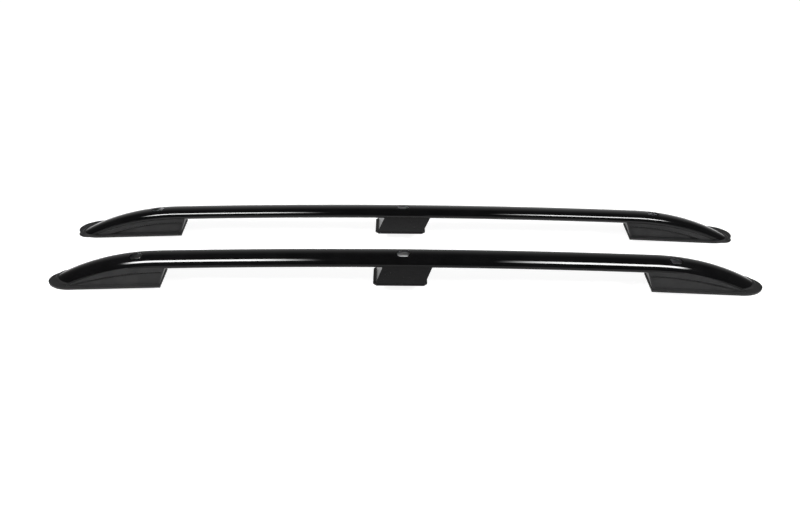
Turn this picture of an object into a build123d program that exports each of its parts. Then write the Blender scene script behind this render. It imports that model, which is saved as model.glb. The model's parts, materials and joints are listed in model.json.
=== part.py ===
from build123d import *
import os
from math import asin, cos, degrees, radians, sin, sqrt

os.makedirs("parts", exist_ok=True)

# Layout of the pair, in millimetres and degrees
# The left rail lies at -Y with its inner side to -Y, and the right rail is its mirror image
rail_length = 1750.0  # over the tips of the two end feet
rail_spacing = 219.0  # between the base centre planes of the two rails
roof_radius = 17500.0  # arch of the roof line that feet and supports stand on

# Oval aluminium tube
tube_width = 54.0
tube_height = 30.0
tube_wall = 2.0
tube_lean = 10.0  # the inner edge of the oval lies lower than the outer edge
tube_offset = 6.5  # from the base centre plane to the tube's, towards the outer side
tube_rise = 53.5  # tube centre above the roof line
bend_setback = 275.0  # start of each bend, behind the tip of its foot
bend_radius = 547.0
bend_end = 34.0  # slope of the centre line once it has passed the foot's floor
arch_spans = 7  # the long arch is swept in this many lengths
seat_gap = 0.2  # between the tube and what cups it

# Fixing points and their hardware
bolt_inset = 56.0  # end bolts, from the inner ends of their feet
bolt_offset = 3.5  # from the base centre plane, towards the outer side
support_station = -8.0  # middle bolt
access_length = 31.0  # oval hole in the tube's top wall, for the bolt's head and its key
access_width = 21.0
bolt_hole = 9.0  # in the tube's bottom wall
sleeve_bore = 8.6
sleeve_wall = 2.7
sleeve_gap = 0.15
screw_shank = 4.8
screw_head = 9.0
screw_head_height = 2.6
screw_head_round = 1.2
screw_gap = 0.1
screw_reach = 5.0  # shank past the tube's wall

# Moulded walls
wall = 3.0
saddle = 3.0  # under the tube
body_top = 46.0  # width of a foot's or support's body at the tube
rib_thickness = 2.2
screw_boss = 12.0
screw_seat = 3.5  # screw boss below the saddle

# End foot
foot_length = 283.0
foot_width = 74.0
foot_nose = 60.0  # length of the rounded nose
foot_inner_round = 5.0
flange_height = 5.0
flange_round = 1.8
pad_height = 2.0
pad_inset = 1.0
pad_rim = 9.0
pad_strap = 30.0  # across the pad at the bolt
tube_floor = 3.0  # of the foot, below the cut end of the tube
foot_base = 66.0  # width of the body where it leaves the flange
body_inset = 2.0  # body behind the flange's inner end
body_lean = 24.0  # the inner end wall leans this far in under the tube
body_corner = 4.0
body_nose = 14.0  # body ends this far behind the tip
collar_width = 2.0  # round the tube where it goes into the flange
collar_height = 2.5
collar_reach = 90.0  # collar runs this far behind the tip
cavity_nose = 112.0  # hollow underside ends this far behind the tip
panel_depth = 4.0  # recessed side panels
panel_border = 8.5  # arched band left under the tube
panel_end = 5.0  # band left at the inner end
panel_lift = 1.6  # band left above the flange
panel_nose = 46.0  # recess ends this far behind the tip
inner_rib = 33.0  # transverse rib behind the bolt, from the foot's inner end
front_ribs = (196.0, 162.0)  # transverse ribs ahead of the bolt, behind the tip
inner_screw = 17.0  # fixing screw behind the bolt, from the foot's inner end
front_screw = 140.0  # fixing screw ahead of the bolt, behind the tip

# Middle support
support_length = 119.0
support_shift = -7.0  # middle of its body's foot from the middle bolt
support_lean = 20.0  # the ends lean this far forward by the height of the tube's centre
support_base_width = 68.0
support_flange_length = 131.0
support_flange_width = 72.0
support_flange_height = 4.5
support_flange_shift = -7.0
support_flange_corner = 8.0
support_flange_edge = 1.0
support_lift = 2.0  # above the roof line
support_corner = 6.0
support_rib_places = (-19.0, 19.0)  # from the middle bolt
support_screw_places = (-34.0, 34.0)

# Reference geometry
roof_centre = -sqrt(roof_radius**2 - (rail_length / 2) ** 2)
arc_radius = roof_radius + tube_rise
bend_start = rail_length / 2 - bend_setback  # from the middle of the rail
start_angle = asin(bend_start / arc_radius)
start_slope = degrees(start_angle)
bend_x = bend_start - bend_radius * sin(start_angle)
bend_z = roof_centre + (arc_radius - bend_radius) * cos(start_angle)
foot_slope = asin((rail_length - foot_length) / 2 / roof_radius)
flange_top = pad_height + flange_height
tube_seat = pad_height + tube_floor
body_height = tube_rise + tube_height / 4
sleeve_radius = sleeve_bore / 2 + sleeve_wall
boss_radius = sleeve_radius + sleeve_gap + wall
reach = foot_length  # cutting bodies run this far past what they cut

tube_y = tube_offset - rail_spacing / 2
bend_centre = Vector(bend_x, tube_y, bend_z)

tip = Vector(rail_length / 2, -rail_spacing / 2, -pad_inset * sin(foot_slope))
foot_along = Vector(cos(foot_slope), 0, -sin(foot_slope))
foot_up = Vector(sin(foot_slope), 0, cos(foot_slope))
foot_plan = Plane(origin=tip, x_dir=foot_along, z_dir=foot_up)
foot_side = Plane(origin=tip, x_dir=foot_along, z_dir=(0, -1, 0))
foot_end = Plane(origin=tip, x_dir=(0, 1, 0), z_dir=foot_along)
bolt_along = (bolt_inset - foot_length) / cos(foot_slope)

support_base = sqrt(roof_radius**2 - support_station**2) + roof_centre + support_lift
support_rise = tube_rise - support_lift
support_top = support_rise + tube_height / 4
support_point = Vector(support_station, -rail_spacing / 2, support_base)
support_plan = Plane(origin=support_point, x_dir=(1, 0, 0), z_dir=(0, 0, 1))
support_side = Plane(origin=support_point, x_dir=(1, 0, 0), z_dir=(0, -1, 0))
support_end = Plane(origin=support_point, x_dir=(0, 1, 0), z_dir=(1, 0, 0))
support_tube = support_point + Vector(0, tube_offset, support_rise)
support_section = Plane(origin=support_tube, x_dir=(0, 1, 0), z_dir=(-1, 0, 0))


def underside(plane, along):
    """Height of the tube's underside above a base plane, at a place along that plane."""
    height = 0.0
    for _ in range(6):
        point = plane.from_local_coords(Vector(along, 0, height))
        if point.X <= bend_start:
            centre = roof_centre + sqrt(arc_radius**2 - point.X**2)
        else:
            centre = bend_z + sqrt(bend_radius**2 - (point.X - bend_x) ** 2)
        height += centre - point.Z
    return height - tube_height / 2


def tube_arcs():
    """Centre line of the tube: the long arch and a tighter bend down to each tip."""
    bend = bend_end - start_slope
    span = 2 * start_slope / arch_spans
    first = CenterArc((bend_x, bend_z), bend_radius, 90 - bend_end, bend)
    for step in range(arch_spans):
        CenterArc((0, roof_centre), arc_radius, 90 - start_slope + step * span, span)
    last = CenterArc((-bend_x, bend_z), bend_radius, 90 + start_slope, bend)
    return first @ 0, last @ 1


with BuildLine(Plane.XZ.offset(-tube_y)) as centre_line:
    tube_arcs()
centre_start = centre_line.line @ 0
section_plane = Plane(origin=centre_start, x_dir=(0, 1, 0), z_dir=centre_line.line % 0)


def oval(growth):
    """The tube's oval section, grown all round and leaning."""
    Ellipse(tube_width / 2 + growth, tube_height / 2 + growth, rotation=-tube_lean)


def tube_bar(growth):
    """Solid bar along the whole centre line."""
    with BuildPart() as bar:
        with BuildSketch(section_plane):
            oval(growth)
        sweep(path=centre_line.line)
    return bar.part


def bend_section(turn):
    """Plane square to the front bend, at an angle from upright about the bend's centre."""
    outward = Vector(sin(radians(turn)), 0, cos(radians(turn)))
    ahead = Vector(-cos(radians(turn)), 0, sin(radians(turn)))
    return Plane(origin=bend_centre + outward * bend_radius, x_dir=(0, 1, 0), z_dir=ahead)


def foot_bar(growth):
    """Solid bar along the front bend, and straight on past the foot's inner end."""
    with BuildPart() as bar:
        with BuildSketch(bend_section(bend_end)):
            oval(growth)
        revolve(axis=Axis(bend_centre, (0, -1, 0)), revolution_arc=bend_end - start_slope)
        with BuildSketch(bend_section(start_slope)):
            oval(growth)
        extrude(amount=foot_length)
    return bar.part


def support_bar(growth):
    """Solid straight bar along the tube over the support, where the arch hardly shows."""
    with BuildPart() as bar:
        with BuildSketch(support_section):
            oval(growth)
        extrude(amount=2 * support_length, both=True)
    return bar.part


def end_trim(floor):
    """What lies lower than the given height over the base of each foot, round the tips."""
    with BuildPart() as trim:
        with BuildSketch(foot_plan.offset(floor)):
            with Locations((-foot_length / 4, 0)):
                Rectangle(foot_length, 2 * foot_width)
        extrude(amount=-reach)
        mirror(about=Plane.YZ)
    return trim.part


def upright_bars(radius, foot_places, support_places, offset):
    """Round bars up to the tube's centre, from the bases of both feet and of the support."""
    with BuildPart() as bars:
        for place in foot_places:
            with BuildSketch(foot_plan):
                with Locations((place, offset)):
                    Circle(radius)
            extrude(amount=underside(foot_plan, place) + tube_height / 2)
        if foot_places:
            mirror(about=Plane.YZ)
        for place in support_places:
            with BuildSketch(support_plan):
                with Locations((place, offset)):
                    Circle(radius)
            extrude(amount=underside(support_plan, place) + tube_height / 2)
    return bars.part


# Room that the tube takes up in the front foot
with BuildPart() as foot_seat:
    add(foot_bar(seat_gap))
    add(end_trim(tube_seat - seat_gap), mode=Mode.SUBTRACT)

# Everything that lies below the tube's centre line
with BuildPart() as below_tube:
    with BuildSketch(Plane.XZ.offset(rail_spacing / 2)):
        with BuildLine():
            right_end, left_end = tube_arcs()
            Polyline(left_end, (left_end.X, -reach), (right_end.X, -reach), right_end)
        make_face()
    extrude(amount=foot_width, both=True)

support_seat = support_bar(seat_gap)
foot_screws_along = [inner_screw - foot_length, -front_screw]
screw_hole = screw_shank / 2 + screw_gap
sleeve_hole = sleeve_radius + sleeve_gap

# Rail tube: bent oval section, ends cut to stand in the feet
with BuildPart() as rail_tube:
    add(tube_bar(0))
    add(tube_bar(-tube_wall), mode=Mode.SUBTRACT)
    add(end_trim(tube_seat), mode=Mode.SUBTRACT)
    # Access holes through the top wall, over the bolts
    with BuildSketch(foot_plan.offset(underside(foot_plan, bolt_along) + tube_height / 2)):
        with Locations((bolt_along, tube_offset)):
            SlotOverall(access_length, access_width)
    front_access = extrude(amount=tube_height, mode=Mode.SUBTRACT)
    mirror(front_access, about=Plane.YZ, mode=Mode.SUBTRACT)
    with BuildSketch(support_plan.offset(support_rise)):
        with Locations((0, tube_offset)):
            SlotOverall(access_length, access_width)
    extrude(amount=tube_height, mode=Mode.SUBTRACT)
    # Holes in the bottom wall, for bolts and fixing screws
    add(upright_bars(bolt_hole / 2, [bolt_along], [0], bolt_offset), mode=Mode.SUBTRACT)
    add(
        upright_bars(screw_hole, foot_screws_along, support_screw_places, tube_offset),
        mode=Mode.SUBTRACT,
    )


def body_section(base_width, shoulder, top, inset):
    """Cross-section of a foot's or support's body, upright at the flange and then narrowing."""
    half_base = base_width / 2 - inset
    half_top = body_top / 2 - inset
    Polygon(
        (-half_base, 0),
        (half_base, 0),
        (half_base, shoulder),
        (tube_offset + half_top, top),
        (tube_offset - half_top, top),
        (-half_base, shoulder),
        align=None,
    )


def foot_profile(inset, floor, nose):
    """Side view of the foot's body, with its leaning inner end."""
    back = -foot_length + body_inset + inset
    lean = body_lean / (body_height - flange_top)
    Polygon(
        (back - lean * (floor - flange_top), floor),
        (-nose, floor),
        (-nose, body_height),
        (back - body_lean, body_height),
        align=None,
    )


def foot_outline(inset):
    """Plan of the foot's flange: a long rectangle with a half-ellipse for a nose."""
    half_width = foot_width / 2 - inset
    with Locations((-foot_nose, 0)):
        Rectangle(foot_length - foot_nose - inset, 2 * half_width, align=(Align.MAX, Align.CENTER))
        outline = Ellipse(foot_nose - inset, half_width)
    fillet(outline.vertices().group_by(Axis.X)[0], foot_inner_round - inset)


# Recess of the foot's two side panels, a skin of the body under an arched band
with BuildPart() as foot_panels:
    with BuildSketch(foot_side):
        foot_profile(panel_end, flange_top + panel_lift, panel_nose)
    extrude(amount=foot_width, both=True)
    with BuildSketch(foot_end):
        body_section(foot_base, flange_top, body_height, panel_depth)
    extrude(amount=-2 * foot_length, mode=Mode.SUBTRACT)
    add(foot_bar(panel_border), mode=Mode.SUBTRACT)

# Hollow underside of the foot, with ribs, the bolt boss and the screw bosses standing in it
with BuildPart() as foot_cavity:
    with BuildSketch(foot_end):
        body_section(foot_base, flange_top, body_height, wall + panel_depth)
    extrude(amount=-2 * foot_length)
    with BuildSketch(foot_side):
        foot_profile(wall, 0, cavity_nose)
    extrude(amount=foot_width, both=True, mode=Mode.INTERSECT)
    add(foot_bar(seat_gap + saddle), mode=Mode.SUBTRACT)
    add(below_tube.part, mode=Mode.INTERSECT)
    for place in (foot_length - inner_rib, *front_ribs):
        with BuildSketch(foot_end.offset(-place)):
            with Locations((0, pad_height)):
                Rectangle(foot_width, body_height, align=(Align.CENTER, Align.MIN))
        extrude(amount=rib_thickness / 2, both=True, mode=Mode.SUBTRACT)
    with BuildSketch(foot_plan.offset(pad_height)):
        with Locations((bolt_along, bolt_offset)):
            Circle(boss_radius)
    extrude(amount=body_height, mode=Mode.SUBTRACT)
    for along in foot_screws_along:
        with BuildSketch(foot_plan.offset(underside(foot_plan, along) - saddle - screw_seat)):
            with Locations((along, tube_offset)):
                Circle(screw_boss / 2)
        extrude(amount=body_height, mode=Mode.SUBTRACT)

# Body of the foot, between the flange and the tube
with BuildPart() as foot_body:
    with BuildSketch(foot_end):
        body_section(foot_base, flange_top, body_height, 0)
    extrude(amount=-2 * foot_length)
    with BuildSketch(foot_side):
        foot_profile(0, pad_height, body_nose)
    extrude(amount=foot_width, both=True, mode=Mode.INTERSECT)
    inner_wall = foot_body.faces().sort_by(Axis.X)[0]
    fillet(inner_wall.edges().group_by(Edge.length)[-1], body_corner)
    add(below_tube.part, mode=Mode.INTERSECT)

# Collar of the foot, round the tube where it goes into the flange
with BuildPart() as foot_collar:
    with BuildSketch(foot_plan.offset(pad_height)):
        with Locations((-collar_reach / 2, 0)):
            Rectangle(collar_reach, foot_width)
    extrude(amount=flange_height + collar_height)
    add(foot_bar(seat_gap + collar_width), mode=Mode.INTERSECT)

# Moulded end foot
with BuildPart() as end_foot:
    with BuildSketch(foot_plan.offset(pad_height)):
        foot_outline(0)
    extrude(amount=flange_height)
    fillet(end_foot.faces().sort_by(Axis.Z)[-1].edges(), flange_round)
    add(foot_body.part)
    add(foot_collar.part)
    add(foot_panels.part, mode=Mode.SUBTRACT)
    add(foot_cavity.part, mode=Mode.SUBTRACT)
    add(upright_bars(sleeve_hole, [bolt_along], [], bolt_offset), mode=Mode.SUBTRACT)
    add(upright_bars(screw_hole, foot_screws_along, [], tube_offset), mode=Mode.SUBTRACT)
    add(foot_seat.part, mode=Mode.SUBTRACT)

# Rubber pad under the foot, open below the hollows
with BuildPart() as foot_pad:
    with BuildSketch(foot_plan):
        foot_outline(pad_inset)
        windows = (
            (-foot_length + pad_inset + pad_rim, bolt_along - pad_strap / 2),
            (bolt_along + pad_strap / 2, -cavity_nose),
        )
        for window_start, window_end in windows:
            with Locations(((window_start + window_end) / 2, 0)):
                Rectangle(
                    window_end - window_start,
                    foot_width - 2 * (pad_inset + pad_rim),
                    mode=Mode.SUBTRACT,
                )
        with Locations((bolt_along, bolt_offset)):
            Circle(sleeve_hole, mode=Mode.SUBTRACT)
    extrude(amount=pad_height)


def bolt_sleeve(plan, along, seat):
    """Steel sleeve between the roof and the tube's underside, cut to the oval at its top."""
    with BuildPart() as sleeve:
        with BuildSketch(plan):
            with Locations((along, bolt_offset)):
                Circle(sleeve_radius)
                Circle(sleeve_bore / 2, mode=Mode.SUBTRACT)
        extrude(amount=underside(plan, along) + tube_height / 2)
        add(seat, mode=Mode.SUBTRACT)
    return sleeve.part


def fixing_screws(plan, places):
    """Pan-head screws from the hollow underside up through the tube's bottom wall."""
    with BuildPart() as screws:
        for along in places:
            top = underside(plan, along)
            seat = top - saddle - screw_seat
            with BuildSketch(plan.offset(seat)):
                with Locations((along, tube_offset)):
                    Circle(screw_head / 2)
            head = extrude(amount=-screw_head_height)
            fillet(head.edges().group_by(Axis.Z)[0], screw_head_round)
            with BuildSketch(plan.offset(seat)):
                with Locations((along, tube_offset)):
                    Circle(screw_shank / 2)
            extrude(amount=top + tube_wall + screw_reach - seat)
    return screws.part


def support_profile(inset, floor):
    """Side view of the support's body, both ends leaning forward."""
    half = support_length / 2 - inset
    lean = support_lean / (support_rise - support_flange_height)
    low = support_shift + lean * (floor - support_flange_height)
    high = support_shift + lean * (support_top - support_flange_height)
    Polygon(
        (low - half, floor),
        (low + half, floor),
        (high + half, support_top),
        (high - half, support_top),
        align=None,
    )


# Hollow underside of the support, with ribs and bosses standing in it
with BuildPart() as support_cavity:
    with BuildSketch(support_end.offset(-support_length)):
        body_section(support_base_width, support_flange_height, support_top, wall)
    extrude(amount=2 * support_length)
    with BuildSketch(support_side):
        support_profile(wall, 0)
    extrude(amount=support_flange_width, both=True, mode=Mode.INTERSECT)
    add(support_bar(seat_gap + saddle), mode=Mode.SUBTRACT)
    add(below_tube.part, mode=Mode.INTERSECT)
    for place in support_rib_places:
        with BuildSketch(support_end.offset(place)):
            Rectangle(support_flange_width, body_height, align=(Align.CENTER, Align.MIN))
        extrude(amount=rib_thickness / 2, both=True, mode=Mode.SUBTRACT)
    with BuildSketch(support_plan):
        with Locations((0, bolt_offset)):
            Circle(boss_radius)
    extrude(amount=support_top, mode=Mode.SUBTRACT)
    for place in support_screw_places:
        with BuildSketch(support_plan.offset(underside(support_plan, place) - saddle - screw_seat)):
            with Locations((place, tube_offset)):
                Circle(screw_boss / 2)
        extrude(amount=support_top, mode=Mode.SUBTRACT)

# Body of the support, between the flange and the tube
with BuildPart() as support_body:
    with BuildSketch(support_end.offset(-support_length)):
        body_section(support_base_width, support_flange_height, support_top, 0)
    extrude(amount=2 * support_length)
    with BuildSketch(support_side):
        support_profile(0, 0)
    extrude(amount=support_flange_width, both=True, mode=Mode.INTERSECT)
    back_wall = support_body.faces().sort_by(Axis.X)[0]
    front_wall = support_body.faces().sort_by(Axis.X)[-1]
    corners = back_wall.edges().group_by(Edge.length)[-1] + front_wall.edges().group_by(Edge.length)[-1]
    fillet(corners, support_corner)
    add(below_tube.part, mode=Mode.INTERSECT)

# Middle support
with BuildPart() as middle_support:
    with BuildSketch(support_plan):
        with Locations((support_flange_shift, 0)):
            plate = Rectangle(support_flange_length, support_flange_width)
        chamfer(plate.vertices(), support_flange_corner)
    extrude(amount=support_flange_height)
    chamfer(middle_support.faces().sort_by(Axis.Z)[-1].edges(), support_flange_edge)
    add(support_body.part)
    add(support_cavity.part, mode=Mode.SUBTRACT)
    add(upright_bars(sleeve_hole, [], [0], bolt_offset), mode=Mode.SUBTRACT)
    add(upright_bars(screw_hole, [], support_screw_places, tube_offset), mode=Mode.SUBTRACT)
    add(support_seat, mode=Mode.SUBTRACT)


def write_piece(solid, name):
    """Label one piece of the left rail and write it with its mirror image on the right rail."""
    with BuildPart() as left_piece:
        add(solid)
    with BuildPart() as right_piece:
        mirror(solid, about=Plane.XZ)
    left_piece.part.label = "left_" + name
    export_step(left_piece.part, "parts/left_" + name + ".step")
    right_piece.part.label = "right_" + name
    export_step(right_piece.part, "parts/right_" + name + ".step")


def write_end_piece(solid, name):
    """Write one piece of the front foot, and its mirror image at the rear foot."""
    with BuildPart() as rear_piece:
        mirror(solid, about=Plane.YZ)
    write_piece(solid, "front_" + name)
    write_piece(rear_piece.part, "rear_" + name)


write_piece(rail_tube.part, "rail_tube")
write_piece(middle_support.part, "middle_support")
write_piece(bolt_sleeve(support_plan, 0, support_seat), "middle_bolt_sleeve")
write_piece(fixing_screws(support_plan, support_screw_places), "support_screws")
write_end_piece(end_foot.part, "foot")
write_end_piece(foot_pad.part, "foot_pad")
write_end_piece(bolt_sleeve(foot_plan, bolt_along, foot_seat.part), "bolt_sleeve")
write_end_piece(fixing_screws(foot_plan, foot_screws_along), "foot_screws")
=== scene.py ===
"""Finishes a pair of roof side rails: bent oval tubes, moulded feet and supports, and their hardware."""

import json
import logging
from dataclasses import dataclass, field
from enum import Enum
from math import asin, atan2, cos, pi, radians, sin, sqrt
from typing import Callable, ClassVar, Iterator

import bmesh
import bpy
from mathutils import Matrix, Vector


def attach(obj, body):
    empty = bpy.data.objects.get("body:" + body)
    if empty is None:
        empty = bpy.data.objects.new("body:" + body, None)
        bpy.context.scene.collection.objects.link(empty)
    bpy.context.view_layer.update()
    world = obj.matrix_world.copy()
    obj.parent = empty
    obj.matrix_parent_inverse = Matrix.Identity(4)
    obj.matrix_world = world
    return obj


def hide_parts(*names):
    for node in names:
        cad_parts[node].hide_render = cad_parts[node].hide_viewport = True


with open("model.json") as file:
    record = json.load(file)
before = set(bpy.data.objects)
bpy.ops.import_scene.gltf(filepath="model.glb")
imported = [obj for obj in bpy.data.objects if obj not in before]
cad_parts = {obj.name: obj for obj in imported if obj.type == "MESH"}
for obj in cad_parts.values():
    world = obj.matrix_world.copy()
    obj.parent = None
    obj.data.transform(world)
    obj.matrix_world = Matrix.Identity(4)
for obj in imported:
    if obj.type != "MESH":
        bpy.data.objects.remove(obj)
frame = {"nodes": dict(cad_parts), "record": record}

log = logging.getLogger("roof_rails")

Colour = tuple[float, float, float]
Triple = tuple[float, float, float]

BODY = "root"


class Side(Enum):
    """Rails of the pair, by the sign of their place along Y."""

    LEFT = -1
    RIGHT = 1

    @property
    def word(self) -> str:
        """Name as the pieces use it."""
        return self.name.lower()


class End(Enum):
    """Ends of a rail, by the sign of their place along X."""

    FRONT = 1
    REAR = -1

    @property
    def word(self) -> str:
        """Name as the pieces use it."""
        return self.name.lower()


@dataclass(frozen=True)
class RailLayout:
    """Sizes that the pieces of a rail share, in metres and degrees."""

    rail_length: float = 1.750
    rail_spacing: float = 0.219
    roof_radius: float = 17.5
    tube_rise: float = 0.0535
    tube_offset: float = 0.0065
    bend_setback: float = 0.275
    bend_radius: float = 0.547
    bend_end: float = 34.0
    tube_seat: float = 0.005
    foot_length: float = 0.283
    pad_inset: float = 0.001
    support_station: float = -0.008

    @property
    def roof_centre(self) -> float:
        """Height of the centre of the roof's arch."""
        return -sqrt(self.roof_radius**2 - (self.rail_length / 2) ** 2)

    @property
    def arch_radius(self) -> float:
        """Radius of the tube's long arch."""
        return self.roof_radius + self.tube_rise

    @property
    def arch_half_turn(self) -> float:
        """Angle from the middle of the arch to the start of a bend, in radians."""
        return asin((self.rail_length / 2 - self.bend_setback) / self.arch_radius)

    @property
    def foot_slope(self) -> float:
        """Tilt of a foot's base, in radians."""
        return asin((self.rail_length - self.foot_length) / 2 / self.roof_radius)

    def tube_y(self, side: Side) -> float:
        """Place across the pair of a tube's centre plane."""
        return side.value * (self.rail_spacing / 2 - self.tube_offset)

    def arch_centre(self, side: Side) -> Vector:
        """Centre of the long arch of one tube."""
        return Vector((0.0, self.tube_y(side), self.roof_centre))

    def bend_centre(self, side: Side, end: End) -> Vector:
        """Centre of one of the tighter bends.

        Args:
            side: rail of the pair.
            end: end of that rail.

        Returns:
            The centre, in the row frame.
        """
        reach = self.arch_radius - self.bend_radius
        outward = Vector((end.value * sin(self.arch_half_turn), 0.0, cos(self.arch_half_turn)))
        return self.arch_centre(side) + outward * reach

    def foot_up(self, end: End) -> Vector:
        """Direction square to the base of a foot."""
        return Vector((end.value * sin(self.foot_slope), 0.0, cos(self.foot_slope)))

    def foot_point(self, side: Side, end: End, along: float, across: float, up: float) -> Vector:
        """A point by its place over the base of a foot.

        Args:
            side: rail of the pair.
            end: end of that rail.
            along: distance from the foot's tip towards the middle of the rail.
            across: distance from the base's centre line towards the middle of the pair.
            up: height over the base.

        Returns:
            The point, in the row frame.
        """
        inward = Vector((-end.value * cos(self.foot_slope), 0.0, sin(self.foot_slope)))
        tip = Vector(
            (
                end.value * self.rail_length / 2,
                side.value * (self.rail_spacing / 2 - across),
                -self.pad_inset * sin(self.foot_slope),
            )
        )
        return tip + inward * along + self.foot_up(end) * up


class Bench:
    """Hand tools that the pieces are modelled with."""

    @staticmethod
    def clear() -> None:
        """Go to object mode and deselect everything."""
        if bpy.context.object and bpy.context.object.mode != "OBJECT":
            bpy.ops.object.mode_set(mode="OBJECT")
        bpy.ops.object.select_all(action="DESELECT")

    @staticmethod
    def take(piece: bpy.types.Object) -> None:
        """Select one piece alone and make it active."""
        Bench.clear()
        piece.select_set(True)
        bpy.context.view_layer.objects.active = piece

    @staticmethod
    def settle(piece: bpy.types.Object) -> None:
        """Put a piece's place, turn and scale into its mesh."""
        Bench.take(piece)
        bpy.ops.object.transform_apply(location=True, rotation=True, scale=True)

    @staticmethod
    def edit(piece: bpy.types.Object) -> None:
        """Open one piece in edit mode with all of it selected."""
        Bench.take(piece)
        bpy.ops.object.mode_set(mode="EDIT")
        bpy.ops.mesh.select_all(action="SELECT")

    @staticmethod
    def pick(piece: bpy.types.Object, test: Callable[[Vector], bool]) -> None:
        """Select the points of a piece in edit mode that pass a test, and the faces between them.

        Args:
            piece: the piece that is open in edit mode.
            test: says whether a point is taken.
        """
        bpy.ops.mesh.select_all(action="DESELECT")
        mesh = bmesh.from_edit_mesh(piece.data)
        for point in mesh.verts:
            point.select = test(point.co)
        mesh.select_mode = {"VERT"}
        mesh.select_flush_mode()
        bmesh.update_edit_mesh(piece.data)

    @staticmethod
    def finish_modifier(piece: bpy.types.Object, modifier: bpy.types.Modifier) -> None:
        """Apply one modifier of a piece."""
        Bench.take(piece)
        bpy.ops.object.modifier_apply(modifier=modifier.name)

    @staticmethod
    def join(pieces: list[bpy.types.Object]) -> bpy.types.Object:
        """Join pieces into the first of them, and return it."""
        Bench.take(pieces[0])
        for piece in pieces[1:]:
            piece.select_set(True)
        bpy.ops.object.join()
        return pieces[0]

    @staticmethod
    def smooth(piece: bpy.types.Object, angle: float) -> None:
        """Shade a piece smooth, apart from edges sharper than an angle in degrees."""
        Bench.take(piece)
        bpy.ops.object.shade_smooth_by_angle(angle=radians(angle))


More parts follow.
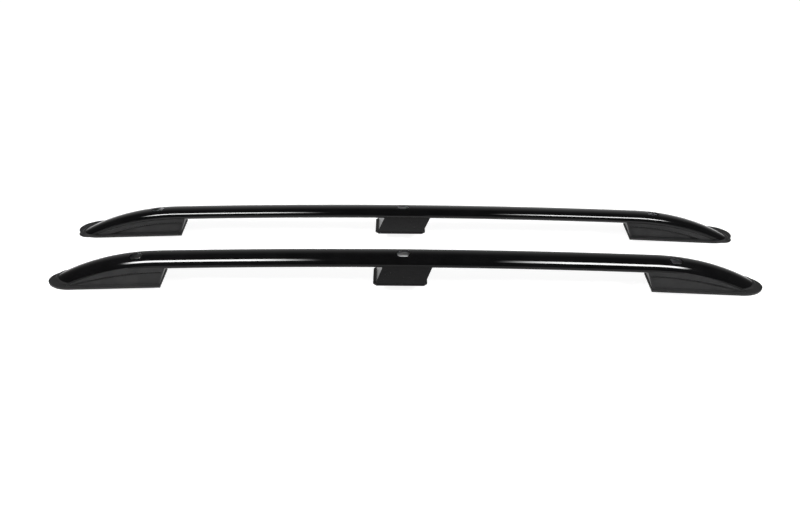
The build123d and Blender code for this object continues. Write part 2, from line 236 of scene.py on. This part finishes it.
class FinishBench:
    """Makes the nodes of one procedural finish."""

    NOISE_SPAN: ClassVar[tuple[float, float]] = (0.3, 0.7)

    def __init__(self, name: str) -> None:
        """Start a material.

        Args:
            name: name of the material.
        """
        self.material = bpy.data.materials.new(name)
        self.material.use_nodes = True
        self.nodes = self.material.node_tree.nodes
        self.links = self.material.node_tree.links
        self.shader = self.nodes["Principled BSDF"]

    def set(self, socket: str, value: object) -> None:
        """Set an even value on the shader."""
        self.shader.inputs[socket].default_value = value

    def feed(self, socket: str, source: bpy.types.NodeSocket) -> None:
        """Lead a varying value to the shader."""
        self.links.new(source, self.shader.inputs[socket])

    def place(self, stretch: Triple = (1.0, 1.0, 1.0)) -> bpy.types.NodeSocket:
        """Object coordinates, stretched along the axes of the row.

        Args:
            stretch: factor along each axis.

        Returns:
            The socket with the coordinates.
        """
        coordinates = self.nodes.new("ShaderNodeTexCoord")
        mapping = self.nodes.new("ShaderNodeMapping")
        mapping.inputs["Scale"].default_value = stretch
        self.links.new(coordinates.outputs["Object"], mapping.inputs["Vector"])
        return mapping.outputs["Vector"]

    def noise(self, place: bpy.types.NodeSocket, grain: float, detail: float) -> bpy.types.NodeSocket:
        """Cloudy noise.

        Args:
            place: coordinates.
            grain: size of its lumps, in metres.
            detail: octaves.

        Returns:
            The socket with a value about one half.
        """
        texture = self.nodes.new("ShaderNodeTexNoise")
        texture.inputs["Scale"].default_value = 1.0 / grain
        texture.inputs["Detail"].default_value = detail
        self.links.new(place, texture.inputs["Vector"])
        return texture.outputs["Fac"]

    def cells(self, place: bpy.types.NodeSocket, grain: float) -> bpy.types.NodeSocket:
        """Pebbled cells, as a moulding tool's etched grain leaves.

        Args:
            place: coordinates.
            grain: size of a cell, in metres.

        Returns:
            The socket with the distance to the cell's middle.
        """
        texture = self.nodes.new("ShaderNodeTexVoronoi")
        texture.feature = "SMOOTH_F1"
        texture.inputs["Scale"].default_value = 1.0 / grain
        self.links.new(place, texture.inputs["Vector"])
        return texture.outputs["Distance"]

    def span(self, value: bpy.types.NodeSocket, low: float, high: float) -> bpy.types.NodeSocket:
        """Spread a noise value over a range.

        Args:
            value: noise about one half.
            low: result where the noise is low.
            high: result where the noise is high.

        Returns:
            The socket with the spread value.
        """
        spread = self.nodes.new("ShaderNodeMapRange")
        least, most = self.NOISE_SPAN
        spread.inputs["From Min"].default_value = least
        spread.inputs["From Max"].default_value = most
        spread.inputs["To Min"].default_value = low
        spread.inputs["To Max"].default_value = high
        self.links.new(value, spread.inputs["Value"])
        return spread.outputs["Result"]

    def tint(self, value: bpy.types.NodeSocket, dark: Colour, light: Colour) -> bpy.types.NodeSocket:
        """Colour between two shades by a noise value.

        Args:
            value: noise about one half.
            dark: colour where the noise is low.
            light: colour where the noise is high.

        Returns:
            The socket with the colour.
        """
        ramp = self.nodes.new("ShaderNodeValToRGB")
        first, last = ramp.color_ramp.elements
        first.position, last.position = self.NOISE_SPAN
        first.color = (*dark, 1.0)
        last.color = (*light, 1.0)
        self.links.new(value, ramp.inputs["Fac"])
        return ramp.outputs["Color"]

    def upturned(self, start: float, end: float) -> bpy.types.NodeSocket:
        """Value that rises from 0 to 1 as the surface turns to face up.

        Args:
            start: upright part of the surface's direction where the value leaves 0.
            end: upright part where it reaches 1.

        Returns:
            The socket with the value.
        """
        coordinates = self.nodes.new("ShaderNodeTexCoord")
        parts = self.nodes.new("ShaderNodeSeparateXYZ")
        self.links.new(coordinates.outputs["Normal"], parts.inputs["Vector"])
        turn = self.nodes.new("ShaderNodeMapRange")
        turn.interpolation_type = "SMOOTHSTEP"
        turn.inputs["From Min"].default_value = start
        turn.inputs["From Max"].default_value = end
        self.links.new(parts.outputs["Z"], turn.inputs["Value"])
        return turn.outputs["Result"]

    def blend(
        self, share: bpy.types.NodeSocket, first: bpy.types.NodeSocket, second: Colour
    ) -> bpy.types.NodeSocket:
        """Go over from one colour to another.

        Args:
            share: value that is 0 for the first colour and 1 for the second.
            first: varying colour.
            second: even colour.

        Returns:
            The socket with the colour.
        """
        mix = self.nodes.new("ShaderNodeMixRGB")
        mix.inputs["Color2"].default_value = (*second, 1.0)
        self.links.new(share, mix.inputs["Fac"])
        self.links.new(first, mix.inputs["Color1"])
        return mix.outputs["Color"]

    def bump(self, height: bpy.types.NodeSocket, depth: float, strength: float) -> None:
        """Raise the surface by a height value.

        Args:
            height: value between 0 and 1.
            depth: real depth of the relief, in metres.
            strength: share of that relief that shows.
        """
        relief = self.nodes.new("ShaderNodeBump")
        relief.inputs["Strength"].default_value = strength
        relief.inputs["Distance"].default_value = depth
        self.links.new(height, relief.inputs["Height"])
        self.feed("Normal", relief.outputs["Normal"])


@dataclass(frozen=True)
class PowderCoat:
    """Gloss black powder coat with a faint orange peel."""

    name: str = "gloss_black_powder_coat"
    dark: Colour = (0.0022, 0.0022, 0.0024)
    light: Colour = (0.0042, 0.0042, 0.0045)
    roughness: tuple[float, float] = (0.05, 0.075)
    specular: float = 0.17
    peel: float = 0.005
    peel_depth: float = 0.00001
    peel_strength: float = 0.06
    peel_detail: float = 1.0
    cloud: float = 0.05
    cloud_detail: float = 3.0

    def material(self) -> bpy.types.Material:
        """Make the coat."""
        bench = FinishBench(self.name)
        place = bench.place()
        cloud = bench.noise(place, self.cloud, self.cloud_detail)
        bench.feed("Base Color", bench.tint(cloud, self.dark, self.light))
        bench.feed("Roughness", bench.span(cloud, *self.roughness))
        peel = bench.noise(place, self.peel, self.peel_detail)
        bench.bump(peel, self.peel_depth, self.peel_strength)
        bench.set("Specular IOR Level", self.specular)
        return bench.material


@dataclass(frozen=True)
class BareAluminium:
    """Inside of the extruded tube, with its fine die lines along X."""

    name: str = "bare_aluminium"
    dark: Colour = (0.52, 0.52, 0.53)
    light: Colour = (0.7, 0.7, 0.71)
    roughness: tuple[float, float] = (0.38, 0.5)
    line: float = 0.0006
    line_stretch: Triple = (0.01, 1.0, 1.0)
    line_depth: float = 0.00002
    line_strength: float = 0.4
    line_detail: float = 2.0

    def material(self) -> bpy.types.Material:
        """Make the metal."""
        bench = FinishBench(self.name)
        lines = bench.noise(bench.place(self.line_stretch), self.line, self.line_detail)
        bench.feed("Base Color", bench.tint(lines, self.dark, self.light))
        bench.feed("Roughness", bench.span(lines, *self.roughness))
        bench.bump(lines, self.line_depth, self.line_strength)
        bench.set("Metallic", 1.0)
        return bench.material


@dataclass(frozen=True)
class MouldedPlastic:
    """Black moulded plastic with the etched grain of its tool, and painted shade that makes it deeper
    black where it faces up.
    """

    name: str
    dark: Colour
    light: Colour
    roughness: tuple[float, float]
    grain: float
    grain_depth: float
    grain_strength: float
    # Painted shade: the darker colour that faces looking up go over to.
    flat: Colour
    specular: float
    # Painted shade: upright parts of the surface's direction over which it goes over to the darker top
    # colour.
    flat_turn: tuple[float, float] = (0.5, 0.9)
    cloud: float = 0.03
    mottle: float = 0.01
    detail: float = 4.0

    def material(self) -> bpy.types.Material:
        """Make the plastic."""
        bench = FinishBench(self.name)
        place = bench.place()
        cloud = bench.noise(place, self.cloud, self.detail)
        sides = bench.tint(cloud, self.dark, self.light)
        # Painted shade: faces that look up are darkened towards the top colour.
        bench.feed("Base Color", bench.blend(bench.upturned(*self.flat_turn), sides, self.flat))
        mottle = bench.noise(place, self.mottle, self.detail)
        bench.feed("Roughness", bench.span(mottle, *self.roughness))
        bench.bump(bench.cells(place, self.grain), self.grain_depth, self.grain_strength)
        bench.set("Specular IOR Level", self.specular)
        return bench.material


@dataclass(frozen=True)
class SoftRubber:
    """Matt black rubber with a dusty bloom."""

    name: str = "matt_black_rubber"
    dark: Colour = (0.010, 0.010, 0.010)
    light: Colour = (0.022, 0.022, 0.022)
    roughness: tuple[float, float] = (0.7, 0.88)
    specular: float = 0.3
    bloom: float = 0.006
    bloom_detail: float = 5.0
    skin: float = 0.0007
    skin_depth: float = 0.00004
    skin_strength: float = 0.3
    skin_detail: float = 3.0

    def material(self) -> bpy.types.Material:
        """Make the rubber."""
        bench = FinishBench(self.name)
        place = bench.place()
        bloom = bench.noise(place, self.bloom, self.bloom_detail)
        bench.feed("Base Color", bench.tint(bloom, self.dark, self.light))
        bench.feed("Roughness", bench.span(bloom, *self.roughness))
        skin = bench.noise(place, self.skin, self.skin_detail)
        bench.bump(skin, self.skin_depth, self.skin_strength)
        bench.set("Specular IOR Level", self.specular)
        return bench.material


@dataclass(frozen=True)
class ZincPlate:
    """Zinc plated steel with its crystal bloom."""

    name: str
    dark: Colour = (0.42, 0.42, 0.41)
    light: Colour = (0.62, 0.62, 0.60)
    roughness: tuple[float, float] = (0.26, 0.45)
    bloom: float = 0.004
    bloom_detail: float = 5.0
    pit: float = 0.0005
    pit_depth: float = 0.00002
    pit_strength: float = 0.3
    pit_detail: float = 2.0

    def material(self) -> bpy.types.Material:
        """Make the plated metal."""
        bench = FinishBench(self.name)
        place = bench.place()
        bloom = bench.noise(place, self.bloom, self.bloom_detail)
        bench.feed("Base Color", bench.tint(bloom, self.dark, self.light))
        bench.feed("Roughness", bench.span(bloom, *self.roughness))
        pits = bench.noise(place, self.pit, self.pit_detail)
        bench.bump(pits, self.pit_depth, self.pit_strength)
        bench.set("Metallic", 1.0)
        return bench.material


@dataclass(frozen=True)
class BoltAxis:
    """Line of a fixing bolt or screw, pointing up."""

    MEETING_STEPS: ClassVar[int] = 6

    point: Vector
    up: Vector

    def at_tube(self, layout: RailLayout) -> Vector:
        """Where the line meets the height of the tube's centre line.

        Args:
            layout: sizes of the rail.

        Returns:
            The point, in the row frame.
        """
        point = self.point.copy()
        for _ in range(self.MEETING_STEPS):
            point += self.up * (self._centre_height(layout, point.x) - point.z)
        return point

    @staticmethod
    def _centre_height(layout: RailLayout, x: float) -> float:
        """Height of the tube's centre line at a place along the rail."""
        end = End.FRONT if x >= 0.0 else End.REAR
        centre = layout.bend_centre(Side.LEFT, end)
        if abs(x) <= layout.rail_length / 2 - layout.bend_setback:
            return layout.roof_centre + sqrt(layout.arch_radius**2 - x**2)
        return centre.z + sqrt(layout.bend_radius**2 - (x - centre.x) ** 2)


def bolt_axis(mount: str) -> BoltAxis:
    """Line of a bolt, read from the record's mounts.

    Args:
        mount: name of the bolt's bore in the record.

    Returns:
        The line, pointing up.
    """
    found = next(entry for entry in frame["record"]["mounts"] if entry["name"] == mount)
    return BoltAxis(Vector(found["pos_m"]), -Vector(found["axis"]))


@dataclass
class RailTube:
    """One bent oval tube, coated outside and bare inside, with its holes."""

    COAT: ClassVar[int] = 0
    METAL: ClassVar[int] = 1

    side: Side
    layout: RailLayout
    width: float = 0.054
    height: float = 0.030
    wall: float = 0.002
    lean: float = 10.0
    access_length: float = 0.031
    access_width: float = 0.021
    bolt_hole: float = 0.009
    screw_hole: float = 0.005
    foot_screws: tuple[float, float] = (0.266, 0.140)
    support_screws: tuple[float, float] = (-0.034, 0.034)
    ring_points: int = 96
    bend_steps: int = 72
    arch_steps: int = 120
    hole_points: int = 64
    weld: float = 1e-6
    sharp: float = 38.0

    @property
    def name(self) -> str:
        """Name of the piece."""
        return f"{self.side.word}_bent_tube"

    @property
    def node(self) -> str:
        """Name of the solid that the piece stands for."""
        return f"{self.side.word}_rail_tube"

    def build(self) -> bpy.types.Object:
        """Model the tube.

        Returns:
            The tube, with the coat as its first material index and bare metal as its second.
        """
        tube = self._bend_section()
        self._give_wall(tube)
        self._trim_ends(tube)
        self._drill(tube)
        Bench.smooth(tube, self.sharp)
        return tube

    def dress(self, tube: bpy.types.Object, coat: bpy.types.Material, metal: bpy.types.Material) -> None:
        """Give the tube its finishes and its place in the frame.

        Args:
            tube: the modelled tube.
            coat: finish of the outside.
            metal: finish of the inside and of cut edges.
        """
        tube.data.materials[self.COAT] = coat
        tube.data.materials[self.METAL] = metal
        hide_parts(self.node)
        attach(tube, BODY)

    def _bend_section(self) -> bpy.types.Object:
        """Spin the oval section round the front bend, the long arch and the rear bend.

        Returns:
            The open skin of the tube.
        """
        slope = radians(self.layout.bend_end)
        outward = Vector((sin(slope), 0.0, cos(slope)))
        start = self.layout.bend_centre(self.side, End.FRONT) + outward * self.layout.bend_radius
        Bench.clear()
        bpy.ops.mesh.primitive_circle_add(vertices=self.ring_points, radius=1.0, location=start)
        tube = bpy.context.object
        tube.name = self.name
        tube.rotation_mode = "ZYX"
        tube.rotation_euler = (0.0, pi / 2 + slope, -self.side.value * radians(self.lean))
        tube.scale = (self.height / 2, self.width / 2, 1.0)
        Bench.settle(tube)
        Bench.edit(tube)
        half_turn = self.layout.arch_half_turn
        bends = (
            (self.layout.bend_centre(self.side, End.FRONT), slope - half_turn, self.bend_steps),
            (self.layout.arch_centre(self.side), 2 * half_turn, self.arch_steps),
            (self.layout.bend_centre(self.side, End.REAR), slope - half_turn, self.bend_steps),
        )
        for centre, turn, steps in bends:
            bpy.ops.mesh.spin(steps=steps, angle=turn, center=centre, axis=(0.0, 1.0, 0.0))
        bpy.ops.mesh.select_all(action="SELECT")
        bpy.ops.mesh.remove_doubles(threshold=self.weld)
        bpy.ops.mesh.normals_make_consistent(inside=False)
        return tube

    def _give_wall(self, tube: bpy.types.Object) -> None:
        """Thicken the skin inwards, with its own material index inside."""
        for _ in (self.COAT, self.METAL):
            tube.data.materials.append(None)
        wall = tube.modifiers.new("wall", "SOLIDIFY")
        wall.thickness = self.wall
        wall.offset = -1.0
        wall.use_even_offset = True
        wall.material_offset = self.METAL
        wall.material_offset_rim = self.METAL
        Bench.finish_modifier(tube, wall)

    def _trim_ends(self, tube: bpy.types.Object) -> None:
        """Cut both ends level with the floor of their feet."""
        for end in End:
            Bench.edit(tube)
            inner = self.layout.rail_length / 2 - self.layout.foot_length
            Bench.pick(tube, lambda point, end=end, inner=inner: point.x * end.value > inner)
            bpy.ops.mesh.bisect(
                plane_co=self.layout.foot_point(self.side, end, 0.0, 0.0, self.layout.tube_seat),
                plane_no=self.layout.foot_up(end),
                use_fill=True,
                clear_inner=True,
            )
        Bench.clear()

    def _drill(self, tube: bpy.types.Object) -> None:
        """Cut the access holes through the top wall, and bolt and screw holes through the bottom wall."""
        cutters = []
        for place in (End.FRONT.word, "middle", End.REAR.word):
            bolt = bolt_axis(f"{self.side.word}_{place}_bolt")
            cutters += [self._access_cutter(bolt), self._hole_cutter(bolt, self.bolt_hole)]
        for screw in self._screw_axes():
            cutters.append(self._hole_cutter(screw, self.screw_hole))
        cutter = Bench.join(cutters)
        holes = tube.modifiers.new("holes", "BOOLEAN")
        holes.operation = "DIFFERENCE"
        holes.solver = "EXACT"
        holes.object = cutter
        Bench.finish_modifier(tube, holes)
        bpy.data.objects.remove(cutter)

    def _screw_axes(self) -> Iterator[BoltAxis]:
        """Lines of the fixing screws that hold the feet and the support to the tube."""
        for end in End:
            for along in self.foot_screws:
                point = self.layout.foot_point(self.side, end, along, self.layout.tube_offset, 0.0)
                yield BoltAxis(point, self.layout.foot_up(end))
        for along in self.support_screws:
            x = self.layout.support_station + along
            yield BoltAxis(Vector((x, self.layout.tube_y(self.side), 0.0)), Vector((0.0, 0.0, 1.0)))

    def _access_cutter(self, bolt: BoltAxis) -> bpy.types.Object:
        """Long-sided bar from the tube's centre line up through the top wall over a bolt.

        Args:
            bolt: line of the bolt.

        Returns:
            The cutting bar.
        """
        Bench.clear()
        bpy.ops.mesh.primitive_cylinder_add(
            vertices=self.hole_points,
            radius=self.access_width / 2,
            depth=self.height,
            rotation=(0.0, 0.0, pi / self.hole_points),
        )
        bar = bpy.context.object
        Bench.settle(bar)
        spread = (self.access_length - self.access_width) / 2
        for way in (1.0, -1.0):
            Bench.edit(bar)
            Bench.pick(bar, lambda point, way=way: point.x * way > 0.0)
            bpy.ops.transform.translate(value=(way * spread, 0.0, 0.0))
        centre = bolt.at_tube(self.layout) + bolt.up * self.height / 2
        centre.y = self.layout.tube_y(self.side)
        return self._set_cutter(bar, centre, bolt)

    def _hole_cutter(self, bolt: BoltAxis, bore: float) -> bpy.types.Object:
        """Round bar from the tube's centre line down through the bottom wall.

        Args:
            bolt: line of the bolt or screw.
            bore: width of the hole.

        Returns:
            The cutting bar.
        """
        Bench.clear()
        bpy.ops.mesh.primitive_cylinder_add(
            vertices=self.hole_points, radius=bore / 2, depth=self.height
        )
        bar = bpy.context.object
        return self._set_cutter(bar, bolt.at_tube(self.layout) - bolt.up * self.height / 2, bolt)

    def _set_cutter(self, bar: bpy.types.Object, centre: Vector, bolt: BoltAxis) -> bpy.types.Object:
        """Turn a cutting bar along its bolt and give its faces the bare metal's index.

        Args:
            bar: upright bar at the origin.
            centre: where its middle goes.
            bolt: line of the bolt.

        Returns:
            The bar, in place.
        """
        Bench.clear()
        bar.location = centre
        bar.rotation_euler = (0.0, atan2(bolt.up.x, bolt.up.z), 0.0)
        Bench.settle(bar)
        for _ in (self.COAT, self.METAL):
            bar.data.materials.append(None)
        for face in bar.data.polygons:
            face.material_index = self.METAL
        return bar


@dataclass
class MouldedPiece:
    """A solid of the frame that keeps its shape and gets a finish."""

    node: str

    def dress(self, material: bpy.types.Material) -> None:
        """Give the solid its finish.

        Args:
            material: finish of the whole solid.
        """
        mesh = frame["nodes"][self.node].data
        mesh.materials.clear()
        mesh.materials.append(material)


@dataclass(frozen=True)
class SoftBox:
    """One soft box over the rails, in metres and watts."""

    MIDDLE: ClassVar[float] = 0.5

    name: str
    place: Triple
    aim: Triple
    size: tuple[float, float]
    power: float
    mirrored: bool
    fade: float = 0.0

    def build(self) -> None:
        """Hang the box: it either shows in reflections alone, or lights without a reflection."""
        lamp = bpy.data.lights.new(self.name, "AREA")
        lamp.shape = "RECTANGLE"
        lamp.size, lamp.size_y = self.size
        lamp.energy = self.power
        if self.fade > 0.0:
            self._fade_ends(lamp)
        box = bpy.data.objects.new(self.name, lamp)
        bpy.context.scene.collection.objects.link(box)
        box.location = self.place
        box.rotation_euler = (Vector(self.aim) - Vector(self.place)).to_track_quat("-Z", "Y").to_euler()
        box.visible_camera = False
        box.visible_diffuse = not self.mirrored
        box.visible_glossy = self.mirrored

    def _fade_ends(self, lamp: bpy.types.AreaLight) -> None:
        """Let the box's light die away towards its two ends.

        Args:
            lamp: the box's lamp.
        """
        lamp.use_nodes = True
        nodes, links = lamp.node_tree.nodes, lamp.node_tree.links
        surface = nodes.new("ShaderNodeNewGeometry")
        parts = nodes.new("ShaderNodeSeparateXYZ")
        links.new(surface.outputs["Parametric"], parts.inputs["Vector"])
        middle = nodes.new("ShaderNodeMath")
        middle.operation = "SUBTRACT"
        middle.inputs[1].default_value = self.MIDDLE
        links.new(parts.outputs["X"], middle.inputs[0])
        reach = nodes.new("ShaderNodeMath")
        reach.operation = "ABSOLUTE"
        links.new(middle.outputs["Value"], reach.inputs[0])
        level = nodes.new("ShaderNodeMapRange")
        level.interpolation_type = "SMOOTHSTEP"
        level.inputs["From Min"].default_value = self.MIDDLE - self.fade
        level.inputs["From Max"].default_value = self.MIDDLE
        level.inputs["To Min"].default_value = 1.0
        level.inputs["To Max"].default_value = 0.0
        links.new(reach.outputs["Value"], level.inputs["Value"])
        links.new(level.outputs["Result"], nodes["Emission"].inputs["Strength"])


@dataclass
class Studio:
    """White sweep, overhead soft boxes and the camera."""

    VIEWS: ClassVar[tuple[str, ...]] = ("Is Camera Ray", "Is Glossy Ray", "Is Transmission Ray")
    MIRRORS: ClassVar[tuple[str, ...]] = ("Is Glossy Ray", "Is Transmission Ray")

    floor_radius: float = 9.0
    floor_points: int = 128
    floor_colour: Colour = (0.4, 0.4, 0.4)
    floor_roughness: float = 0.9
    floor_glow: float = 0.9
    fade_start: float = 2.6
    fade_end: float = 7.0
    fill: float = 0.2
    mirror_front: float = 0.1
    mirror_span: tuple[float, float] = (0.5, 1.0)
    lens: float = 33.3
    camera_place: Triple = (-0.0230, -1.5314, 1.1393)
    camera_pitch: float = 37.285
    camera_yaw: float = 0.297
    camera_roll: float = -0.693
    boxes: tuple[SoftBox, ...] = (
        SoftBox("left_lamp", (-1.75, -0.8, 1.5), (-0.35, -0.05, 0.06), (0.5, 0.4), 40.0, False),
        SoftBox("right_lamp", (1.8, -0.8, 1.5), (0.38, -0.05, 0.06), (0.5, 0.4), 40.0, False),
        SoftBox("left_sheen", (-1.14, -0.6, 1.6), (-1.14, -0.599, 0.0), (1.5, 0.5), 180.0, True, 0.25),
        SoftBox("right_sheen", (1.2, -0.6, 1.6), (1.2, -0.599, 0.0), (1.5, 0.5), 180.0, True, 0.25),
    )

    def build(self) -> None:
        """Make the whole studio."""
        self._sweep()
        self._sky()
        for box in self.boxes:
            box.build()
        self._camera()
        bpy.context.scene.view_settings.view_transform = "Standard"

    def _sweep(self) -> None:
        """Round white floor that fades into the white surround."""
        Bench.clear()
        bpy.ops.mesh.primitive_circle_add(
            vertices=self.floor_points, radius=self.floor_radius, fill_type="NGON"
        )
        floor = bpy.context.object
        floor.name = "studio_floor"
        floor.data.materials.append(self._paper())

    def _paper(self) -> bpy.types.Material:
        """White paper that keeps a shadow and thins out towards its rim.

        Returns:
            The material.
        """
        bench = FinishBench("white_sweep")
        nodes, links = bench.nodes, bench.links
        bench.set("Base Color", (*self.floor_colour, 1.0))
        bench.set("Roughness", self.floor_roughness)
        bench.set("Specular IOR Level", 0.0)
        bench.set("Emission Color", (1.0, 1.0, 1.0, 1.0))
        lift = nodes.new("ShaderNodeMath")
        lift.operation = "MULTIPLY"
        lift.inputs[1].default_value = self.floor_glow
        links.new(self._seen_rays(nodes, links, self.VIEWS), lift.inputs[0])
        bench.feed("Emission Strength", lift.outputs["Value"])
        coordinates = nodes.new("ShaderNodeTexCoord")
        distance = nodes.new("ShaderNodeVectorMath")
        distance.operation = "LENGTH"
        links.new(coordinates.outputs["Object"], distance.inputs[0])
        rim = nodes.new("ShaderNodeMapRange")
        rim.interpolation_type = "SMOOTHSTEP"
        rim.inputs["From Min"].default_value = self.fade_start
        rim.inputs["From Max"].default_value = self.fade_end
        rim.inputs["To Min"].default_value = 1.0
        rim.inputs["To Max"].default_value = 0.0
        links.new(distance.outputs["Value"], rim.inputs["Value"])
        bench.feed("Alpha", rim.outputs["Result"])
        return bench.material

    @staticmethod
    def _seen_rays(
        nodes: bpy.types.Nodes, links: bpy.types.NodeLinks, rays: tuple[str, ...]
    ) -> bpy.types.NodeSocket:
        """Value 1 for rays of some kinds.

        Args:
            nodes: nodes of the tree.
            links: links of the tree.
            rays: kinds of ray, by the names of their sockets.

        Returns:
            The socket with the value.
        """
        path = nodes.new("ShaderNodeLightPath")
        value = path.outputs[rays[0]]
        for ray in rays[1:]:
            either = nodes.new("ShaderNodeMath")
            either.operation = "MAXIMUM"
            links.new(value, either.inputs[0])
            links.new(path.outputs[ray], either.inputs[1])
            value = either.outputs["Value"]
        return value

    def _sky(self) -> None:
        """White surround to the eye, mirrored behind the rails and dim where the viewer stands."""
        world = bpy.data.worlds.new("white_surround")
        bpy.context.scene.world = world
        world.use_nodes = True
        nodes, links = world.node_tree.nodes, world.node_tree.links
        background = nodes["Background"]
        background.inputs["Color"].default_value = (1.0, 1.0, 1.0, 1.0)
        direction = nodes.new("ShaderNodeTexCoord")
        parts = nodes.new("ShaderNodeSeparateXYZ")
        links.new(direction.outputs["Generated"], parts.inputs["Vector"])
        mirrored = nodes.new("ShaderNodeMapRange")
        mirrored.inputs["From Min"].default_value = self.mirror_span[0]
        mirrored.inputs["From Max"].default_value = self.mirror_span[1]
        mirrored.inputs["To Min"].default_value = self.mirror_front
        mirrored.inputs["To Max"].default_value = 1.0
        links.new(parts.outputs["Y"], mirrored.inputs["Value"])
        glossy = nodes.new("ShaderNodeMapRange")
        glossy.inputs["To Min"].default_value = self.fill
        links.new(self._seen_rays(nodes, links, self.MIRRORS), glossy.inputs["Value"])
        links.new(mirrored.outputs["Result"], glossy.inputs["To Max"])
        level = nodes.new("ShaderNodeMapRange")
        level.inputs["To Max"].default_value = 1.0
        links.new(self._seen_rays(nodes, links, self.VIEWS[:1]), level.inputs["Value"])
        links.new(glossy.outputs["Result"], level.inputs["To Min"])
        links.new(level.outputs["Result"], background.inputs["Strength"])

    def _camera(self) -> None:
        """Camera at the photograph's viewing angle."""
        pitch, yaw, roll = (radians(a) for a in (self.camera_pitch, self.camera_yaw, self.camera_roll))
        forward = Vector((sin(yaw) * cos(pitch), cos(yaw) * cos(pitch), -sin(pitch)))
        level = Vector((cos(yaw), -sin(yaw), 0.0))
        down = forward.cross(level)
        right = cos(roll) * level + sin(roll) * down
        up = sin(roll) * level - cos(roll) * down
        turn = Matrix((right, up, -forward)).transposed()
        data = bpy.data.cameras.new("camera")
        data.lens = self.lens
        camera = bpy.data.objects.new("camera", data)
        bpy.context.scene.collection.objects.link(camera)
        camera.matrix_world = Matrix.Translation(self.camera_place) @ turn.to_4x4()
        bpy.context.scene.camera = camera


@dataclass
class RailPair:
    """Both rails with all their pieces and finishes."""

    layout: RailLayout = field(default_factory=RailLayout)
    coat: PowderCoat = PowderCoat()
    metal: BareAluminium = BareAluminium()
    foot_plastic: MouldedPlastic = MouldedPlastic(
        name="grained_black_plastic",
        dark=(0.023, 0.023, 0.0235),
        light=(0.033, 0.033, 0.0335),
        roughness=(0.38, 0.48),
        grain=0.0011,
        grain_depth=0.00006,
        grain_strength=0.25,
        # painted shade on the faces that look up
        flat=(0.008, 0.008, 0.0083),
        specular=0.14,
    )
    support_plastic: MouldedPlastic = MouldedPlastic(
        name="satin_black_plastic",
        dark=(0.003, 0.003, 0.0033),
        light=(0.0055, 0.0055, 0.0058),
        roughness=(0.2, 0.28),
        grain=0.0008,
        grain_depth=0.00003,
        grain_strength=0.15,
        # painted shade on the faces that look up
        flat=(0.003, 0.003, 0.0033),
        specular=0.2,
    )
    rubber: SoftRubber = SoftRubber()
    sleeve_zinc: ZincPlate = ZincPlate(name="sleeve_zinc")
    screw_zinc: ZincPlate = ZincPlate(name="screw_zinc", dark=(0.36, 0.36, 0.36), light=(0.58, 0.58, 0.57))

    def build(self) -> None:
        """Model and dress every piece, and report it."""
        coat, metal = self.coat.material(), self.metal.material()
        for side in Side:
            tube = RailTube(side, self.layout)
            piece = tube.build()
            tube.dress(piece, coat, metal)
            log.info("%s: %d faces", piece.name, len(piece.data.polygons))
        finishes = {
            "_screws": self.screw_zinc.material(),
            "_sleeve": self.sleeve_zinc.material(),
            "_pad": self.rubber.material(),
            "_foot": self.foot_plastic.material(),
            "_support": self.support_plastic.material(),
        }
        for node in self._moulded_nodes():
            ending = "_" + node.rsplit("_", 1)[1]
            MouldedPiece(node).dress(finishes[ending])
            log.info("%s: dressed", node)

    @staticmethod
    def _moulded_nodes() -> Iterator[str]:
        """Names of the solids that keep their shape."""
        return (node for node in sorted(frame["nodes"]) if not node.endswith("rail_tube"))


def main() -> None:
    """Build the rails and the studio."""
    logging.basicConfig(level=logging.INFO, format="%(name)s: %(message)s")
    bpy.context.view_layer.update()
    RailPair().build()
    Studio().build()


if __name__ == "__main__":
    main()
